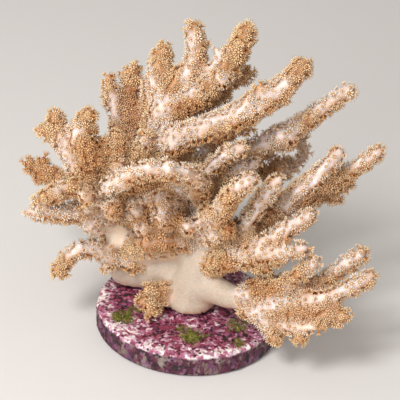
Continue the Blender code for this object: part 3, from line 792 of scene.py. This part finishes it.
# Painted shade on the flesh: hollows, and sides that face away from the light.
away_from_light = 1 - rise(facing_light, *HOLLOW_SHADE_FADE)
for name, values in (
    ("polyp_cover", covered),
    ("polyp_crowd", np.minimum(crowding + RINGS_CROWD * ringed, 1 - CREAM_UNCROWDS * creamy)),
    ("polyp_rust_and_shade", np.clip(shade * SHADE_SHARE + rust_and_shade, 0, 1)),
    ("bare_and_lit_patch", bare_and_lit_patch),
    ("flesh_painted_shade", np.maximum(HOLLOW_SHARE * hollow_shade, HOLLOW_SHADE_SHARE * away_from_light)),
):
    layer = flesh.data.attributes.new(name, "FLOAT", "POINT")
    layer.data.foreach_set("value", values.astype(np.float32))
flesh.data.materials.append(flesh_material())
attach(flesh, "root")
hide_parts(*branch_names)

# The polyps
# Thousands of small feeding mouths stand on the fingers. Each is a soft brown column that opens at its top into
# eight pale feathery tentacles round a mouth. They crowd at the tips and on the shaded sides of the fingers.
COLUMN_RADIUS = 0.00027
COLUMN_HEIGHT = 0.00080
COLUMN_SIDES = 6
FOOT_SPREAD = 1.25
# Each step up the column is a share of its height, and how much wider it gets there.
COLUMN_STEPS = ((0.45, 0.75), (0.38, 1.20), (0.17, 1.30))
MOUTH_RISE = 0.06
MOUTH_RADIUS = 1e-5
CUP_RADIUS = 0.00040
CUP_FADE = (0.9, 1.5)
TENTACLES = 8
TENTACLE_SIDES = 3
TENTACLE_LENGTH = 0.00102
TENTACLE_WIDTH = 0.00015
TENTACLE_FOOT = 0.6
TENTACLE_BEND, TENTACLE_SPREAD, TENTACLE_TIP = 0.58, (1.1, 2.0, 1), (0.20, 0, 0.40)
TENTACLE_OUT, TENTACLE_SINK = 0.85, 0.16
OPEN_LEAN = math.radians(43)
SHUT_LEAN = math.radians(12)
CROWDED = 0.00092
SPARSE = 0.0016
CROWDING_POWER = 0.7
CANDIDATES_A_SQUARE_METRE = 6e6
LEAST_COVER = 0.35
LEAN_VARIES = 0.28
SHUT_USUALLY, SHUT_VARIES = 0.2, 0.35
SMALLEST, SIZE_VARIES, YOUNGEST = 0.84, 0.46, 0.55
POLYP_ROOT = 0.0001
BROWN = np.array((0.26, 0.095, 0.026))
GOLD = np.array((0.48, 0.225, 0.057))
TAN = np.array((0.62, 0.33, 0.135))
CREAM = np.array((0.87, 0.62, 0.36))
PINK = np.array((0.86, 0.58, 0.48))
WHITE = np.array((0.89, 0.765, 0.655))
# Rust is the polyps' own rusty brown, and it is painted on as shade too.
RUST_AND_SHADE = np.array((0.54, 0.215, 0.065))
# Polyps are painted browner in shade and in hollows, and pinker in hollows: painted shade.
DIM_BROWN, HOLLOW_SHADE_BROWN, CREAM_HIDES_BROWN = 0.8, 0.55, 0.55
PATCHY_PINK, LEAST_PINK, PINK_SHARE, HOLLOW_SHADE_PINK = 1.5, 0.4, 0.25, 0.5
WHITE_POWER, MOST_WHITE, DIM_UNWHITE = 1.6, 0.9, 0.5
BODY_TAN, ROOT_WHITE, END_RUST_AND_SHADE, ROOT_RUST_AND_SHADE, ROOT_IN_ARMS = 0.4, 0.6, 0.6, 0.8, 0.5
TONES = (0.86, 1.12)
FOOT_FADE = (0.3, 0.95)
POLYP_ROUGHNESS = 0.45
POLYP_DEPTH, POLYP_DEPTHS, POLYP_DEPTH_SCALE = 0.3, (1.0, 0.6, 0.35), 0.0006


def ring(sides, radius):
    """A ring of corners, chosen and ready to be drawn out."""
    deselect()
    bpy.ops.mesh.primitive_circle_add(vertices=sides, radius=radius)
    bpy.ops.object.mode_set(mode="EDIT")
    bpy.ops.mesh.select_all(action="SELECT")
    return bpy.context.object


def draw_out(move, widen=None):
    """Draws the chosen ring out, and widens it there or closes it to a point."""
    bpy.ops.mesh.extrude_region_move(TRANSFORM_OT_translate={"value": move})
    if widen:
        bpy.ops.transform.resize(value=widen)
    else:
        bpy.ops.mesh.merge(type="CENTER")


def polyp_shape(name, lean):
    """The corners and faces of one polyp that stands on the origin, its tentacles leaning out by so much."""
    polyp = ring(COLUMN_SIDES, COLUMN_RADIUS * FOOT_SPREAD)
    polyp.name = name
    for height, radius in COLUMN_STEPS:
        draw_out((0, 0, COLUMN_HEIGHT * height), (radius, radius, 1))
    draw_out((0, 0, COLUMN_HEIGHT * MOUTH_RISE))
    bpy.ops.object.mode_set(mode="OBJECT")
    top = max(vertex.co.z for vertex in polyp.data.vertices)
    rim = max(vertex.co.xy.length for vertex in polyp.data.vertices)
    parts = [polyp]
    for number in range(TENTACLES):
        around = 2 * math.pi * number / TENTACLES
        tentacle = ring(TENTACLE_SIDES, TENTACLE_WIDTH * TENTACLE_FOOT)
        draw_out((0, 0, TENTACLE_LENGTH * TENTACLE_BEND), TENTACLE_SPREAD)
        draw_out(tuple(TENTACLE_LENGTH * part for part in TENTACLE_TIP))
        bpy.ops.object.mode_set(mode="OBJECT")
        out = Vector((math.cos(around), math.sin(around), 0)) * rim * TENTACLE_OUT
        foot = Matrix.Translation(out + Vector((0, 0, top - COLUMN_HEIGHT * TENTACLE_SINK)))
        tentacle.data.transform(foot @ Matrix.Rotation(around, 4, "Z") @ Matrix.Rotation(lean, 4, "Y"))
        parts.append(tentacle)
    for part in parts:
        part.select_set(True)
    bpy.context.view_layer.objects.active = polyp
    bpy.ops.object.join()
    polyp.modifiers.new("triangles", "TRIANGULATE")
    apply_all(polyp)
    shape = vectors(polyp.data.vertices, "co")
    faces = np.array([face.vertices[:] for face in polyp.data.polygons])
    bpy.data.objects.remove(polyp)
    return shape, faces


open_polyp, polyp_faces = polyp_shape("open_polyp", OPEN_LEAN)
shut_polyp, _ = polyp_shape("shut_polyp", SHUT_LEAN)

rng = np.random.default_rng(7)
flesh_mesh = flesh.data
flesh_mesh.calc_loop_triangles()
corner_of = np.empty(len(flesh_mesh.loop_triangles) * 3, np.int32)
flesh_mesh.loop_triangles.foreach_get("vertices", corner_of)
corner_of = corner_of.reshape(-1, 3)
a, b, c = (places[corner_of[:, i]] for i in range(3))
areas = np.linalg.norm(np.cross(b - a, c - a), axis=1) / 2
count = int(areas.sum() * CANDIDATES_A_SQUARE_METRE)
chosen = rng.choice(len(areas), count, p=areas / areas.sum())
share = rng.random((count, 2))
share[share.sum(1) > 1] = 1 - share[share.sum(1) > 1]
weights = np.column_stack([1 - share.sum(1), share])
ids = corner_of[chosen]


def at_spots(values):
    """A value of the flesh's vertices, read where the spots lie."""
    return (values[ids] * (weights[..., None] if values.ndim == 2 else weights)).sum(1)


spots = at_spots(places)
spot_normals = at_spots(normals)
spot_normals /= np.linalg.norm(spot_normals, axis=1)[:, None]
cover_here = at_spots(covered)
cream_here = at_spots(creamy)
hollow_shade_here = at_spots(hollow_shade)
dim_here = np.clip(at_spots(shade), 0, 1)
# Painted shade: polyps are browner on sides away from the light, in hollows, under the arch and along the folds,
# where they are also brown of their own.
brown_and_shade_here = np.clip(dim_here * DIM_BROWN + at_spots(rust_and_shade) + hollow_shade_here * HOLLOW_SHADE_BROWN, 0, 1)
brown_and_shade_here = brown_and_shade_here * (1 - CREAM_HIDES_BROWN * cream_here)
pink_here = np.clip(at_spots(patchy) * PATCHY_PINK + LEAST_PINK, 0, 1)
# A spot is kept if no polyp stands within its spacing yet.
spacing = SPARSE + (CROWDED - SPARSE) * np.clip(at_spots(crowding), 0, 1) ** CROWDING_POWER
tree = tree_of(spots)
free = cover_here > LEAST_COVER
kept = []
for index in range(count):
    if free[index]:
        kept.append(index)
        for _, near, _ in tree.find_range(spots[index], spacing[index]):
            free[near] = False
kept = np.array(kept)


def frames_of(directions, spins):
    """For each direction, the two axes square to it, turned by its spin."""
    helper = np.where(np.abs(directions[:, 2:3]) < 0.9, (0.0, 0.0, 1.0), (1.0, 0.0, 0.0))
    one = np.cross(helper, directions)
    one /= np.linalg.norm(one, axis=1)[:, None]
    two = np.cross(directions, one)
    cos, sin = np.cos(spins)[:, None], np.sin(spins)[:, None]
    return one * cos + two * sin, two * cos - one * sin


def blend(one, two, share):
    return one * (1 - share) + two * share


def each(values):
    """One value a polyp, set out so that it reaches all of its corners."""
    return values[:, None, None]


column_corners = COLUMN_SIDES * (len(COLUMN_STEPS) + 1) + 1
from_middle = np.linalg.norm(open_polyp[:, :2], axis=1)
is_column = np.arange(len(open_polyp)) < column_corners
is_mouth = is_column & (from_middle < MOUTH_RADIUS)
cup_low, cup_high = (CUP_RADIUS * fade for fade in CUP_FADE)
tip_share = np.where(is_column, 0.0, rise(from_middle, cup_low, cup_high))[None, :, None]
foot_share = np.where(is_column, 1 - rise(open_polyp[:, 2] / COLUMN_HEIGHT, *FOOT_FADE), 0.0)[None, :, None]


def plant(name, planted):
    """Joins one polyp on each of the spots given into a piece of its own."""
    number = len(planted)
    lean = spot_normals[planted] + rng.normal(0, LEAN_VARIES, (number, 3))
    lean /= np.linalg.norm(lean, axis=1)[:, None]
    one, two = frames_of(lean, rng.uniform(0, 2 * math.pi, number))
    shut = each(np.clip(rng.normal(SHUT_USUALLY, SHUT_VARIES, number), 0, 1))
    size = SMALLEST + SIZE_VARIES * rng.random(number) ** 2
    shape = blend(open_polyp, shut_polyp, shut) * each(size * blend(YOUNGEST, 1, cover_here[planted]))
    shape[..., 2] -= POLYP_ROOT
    points = (
        spots[planted][:, None, :]
        + shape[..., 0:1] * one[:, None, :]
        + shape[..., 1:2] * two[:, None, :]
        + shape[..., 2:3] * lean[:, None, :]
    )
    faces = polyp_faces[None] + (np.arange(number) * len(open_polyp))[:, None, None]
    mesh = bpy.data.meshes.new(name)
    mesh.vertices.add(points.shape[0] * points.shape[1])
    mesh.vertices.foreach_set("co", points.reshape(-1).astype(np.float32))
    flat = faces.reshape(-1, 3)
    mesh.loops.add(flat.size)
    mesh.loops.foreach_set("vertex_index", flat.reshape(-1).astype(np.int32))
    mesh.polygons.add(len(flat))
    mesh.polygons.foreach_set("loop_start", np.arange(0, flat.size, 3, dtype=np.int32))
    mesh.polygons.foreach_set("use_smooth", np.ones(len(flat), bool))
    mesh.update(calc_edges=True)
    hollow_shade_there = hollow_shade_here[planted]
    # Arms are whiter near the pale stripes, partly a painted highlight, and less white in shade and in hollows:
    # painted shade.
    white = np.clip(cream_here[planted], 0, 1) ** WHITE_POWER
    white = each(white * (MOST_WHITE - DIM_UNWHITE * np.maximum(dim_here[planted], hollow_shade_there)))
    # Pink comes in random patches, and in hollows as painted shade.
    pink = each(np.maximum(pink_here[planted] * PINK_SHARE, hollow_shade_there * HOLLOW_SHADE_PINK))
    brown = each(brown_and_shade_here[planted])
    body = blend(blend(BROWN, GOLD, each(rng.uniform(0, 1, number))), TAN, BODY_TAN * white)
    ends = blend(blend(blend(CREAM, PINK, pink), WHITE, white), RUST_AND_SHADE, END_RUST_AND_SHADE * brown)
    ends = ends * each(rng.uniform(*TONES, number))
    roots = blend(blend(TAN, WHITE, ROOT_WHITE * white), RUST_AND_SHADE, ROOT_RUST_AND_SHADE * brown)
    arms = blend(blend(body, roots, ROOT_IN_ARMS), ends, tip_share)
    colours = np.where(is_column[None, :, None], blend(body, roots, foot_share), arms)
    colours = np.where(is_mouth[None, :, None], CREAM, colours)
    layer = mesh.color_attributes.new("polyp_colour", "FLOAT_COLOR", "POINT")
    solid = np.concatenate([colours, np.ones((*colours.shape[:2], 1))], axis=2)
    layer.data.foreach_set("color", solid.reshape(-1).astype(np.float32))
    piece = bpy.data.objects.new(name, mesh)
    bpy.context.scene.collection.objects.link(piece)
    return piece


tissue, nodes, links, shader = new_material("polyp_tissue")
polyp_colour = nodes.new("ShaderNodeAttribute")
polyp_colour.attribute_name = "polyp_colour"
links.new(polyp_colour.outputs["Color"], shader.inputs["Base Color"])
make_soft(shader, POLYP_ROUGHNESS, POLYP_DEPTH, POLYP_DEPTHS, POLYP_DEPTH_SCALE)
stands_on = owner_of(spots[kept])
for number, name in enumerate(branch_names):
    if (stands_on == number).any():
        polyps = plant("polyps_of_" + name, kept[stands_on == number])
        polyps.data.materials.append(tissue)
        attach(polyps, "root")

# The floor and the light
# A plain pale floor, a large soft light from the upper left, a broad weak one from the front left, and a pale sky.
FLOOR_SIZE = 6
FLOOR_DROP = 0.0001
FLOOR_COLOUR = (0.72, 0.715, 0.71, 1)
FLOOR_ROUGHNESS = 0.8
LIT_POINT = Vector((0, 0, 0.04))
SKY_COLOUR = (1.0, 0.93, 0.87, 1)
SKY_STRENGTH = 0.48
bpy.ops.mesh.primitive_plane_add(size=FLOOR_SIZE, location=(0, 0, -FLOOR_DROP))
floor = bpy.context.object
floor.name = "floor"
floor_paint, nodes, links, shader = new_material("pale_floor")
shader.inputs["Base Color"].default_value = FLOOR_COLOUR
shader.inputs["Roughness"].default_value = FLOOR_ROUGHNESS
floor.data.materials.append(floor_paint)


def soft_light(name, place, size, power, colour):
    made = bpy.data.objects.new(name, bpy.data.lights.new(name, "AREA"))
    made.data.shape = "DISK"
    made.data.size = size
    made.data.energy = power
    made.data.color = colour
    made.location = place
    made.rotation_euler = (LIT_POINT - Vector(place)).to_track_quat("-Z", "Y").to_euler()
    bpy.context.scene.collection.objects.link(made)


soft_light("key_light", place=(-0.28, -0.42, 0.58), size=0.26, power=4.4, colour=(1.0, 0.975, 0.945))
soft_light("fill_light", place=(-0.35, -0.75, 0.20), size=0.5, power=3.6, colour=(1.0, 0.98, 0.96))
sky = bpy.data.worlds.new("pale_sky")
sky.use_nodes = True
sky.node_tree.nodes["Background"].inputs["Color"].default_value = SKY_COLOUR
sky.node_tree.nodes["Background"].inputs["Strength"].default_value = SKY_STRENGTH
bpy.context.scene.world = sky
bpy.context.scene.view_settings.view_transform = "Standard"
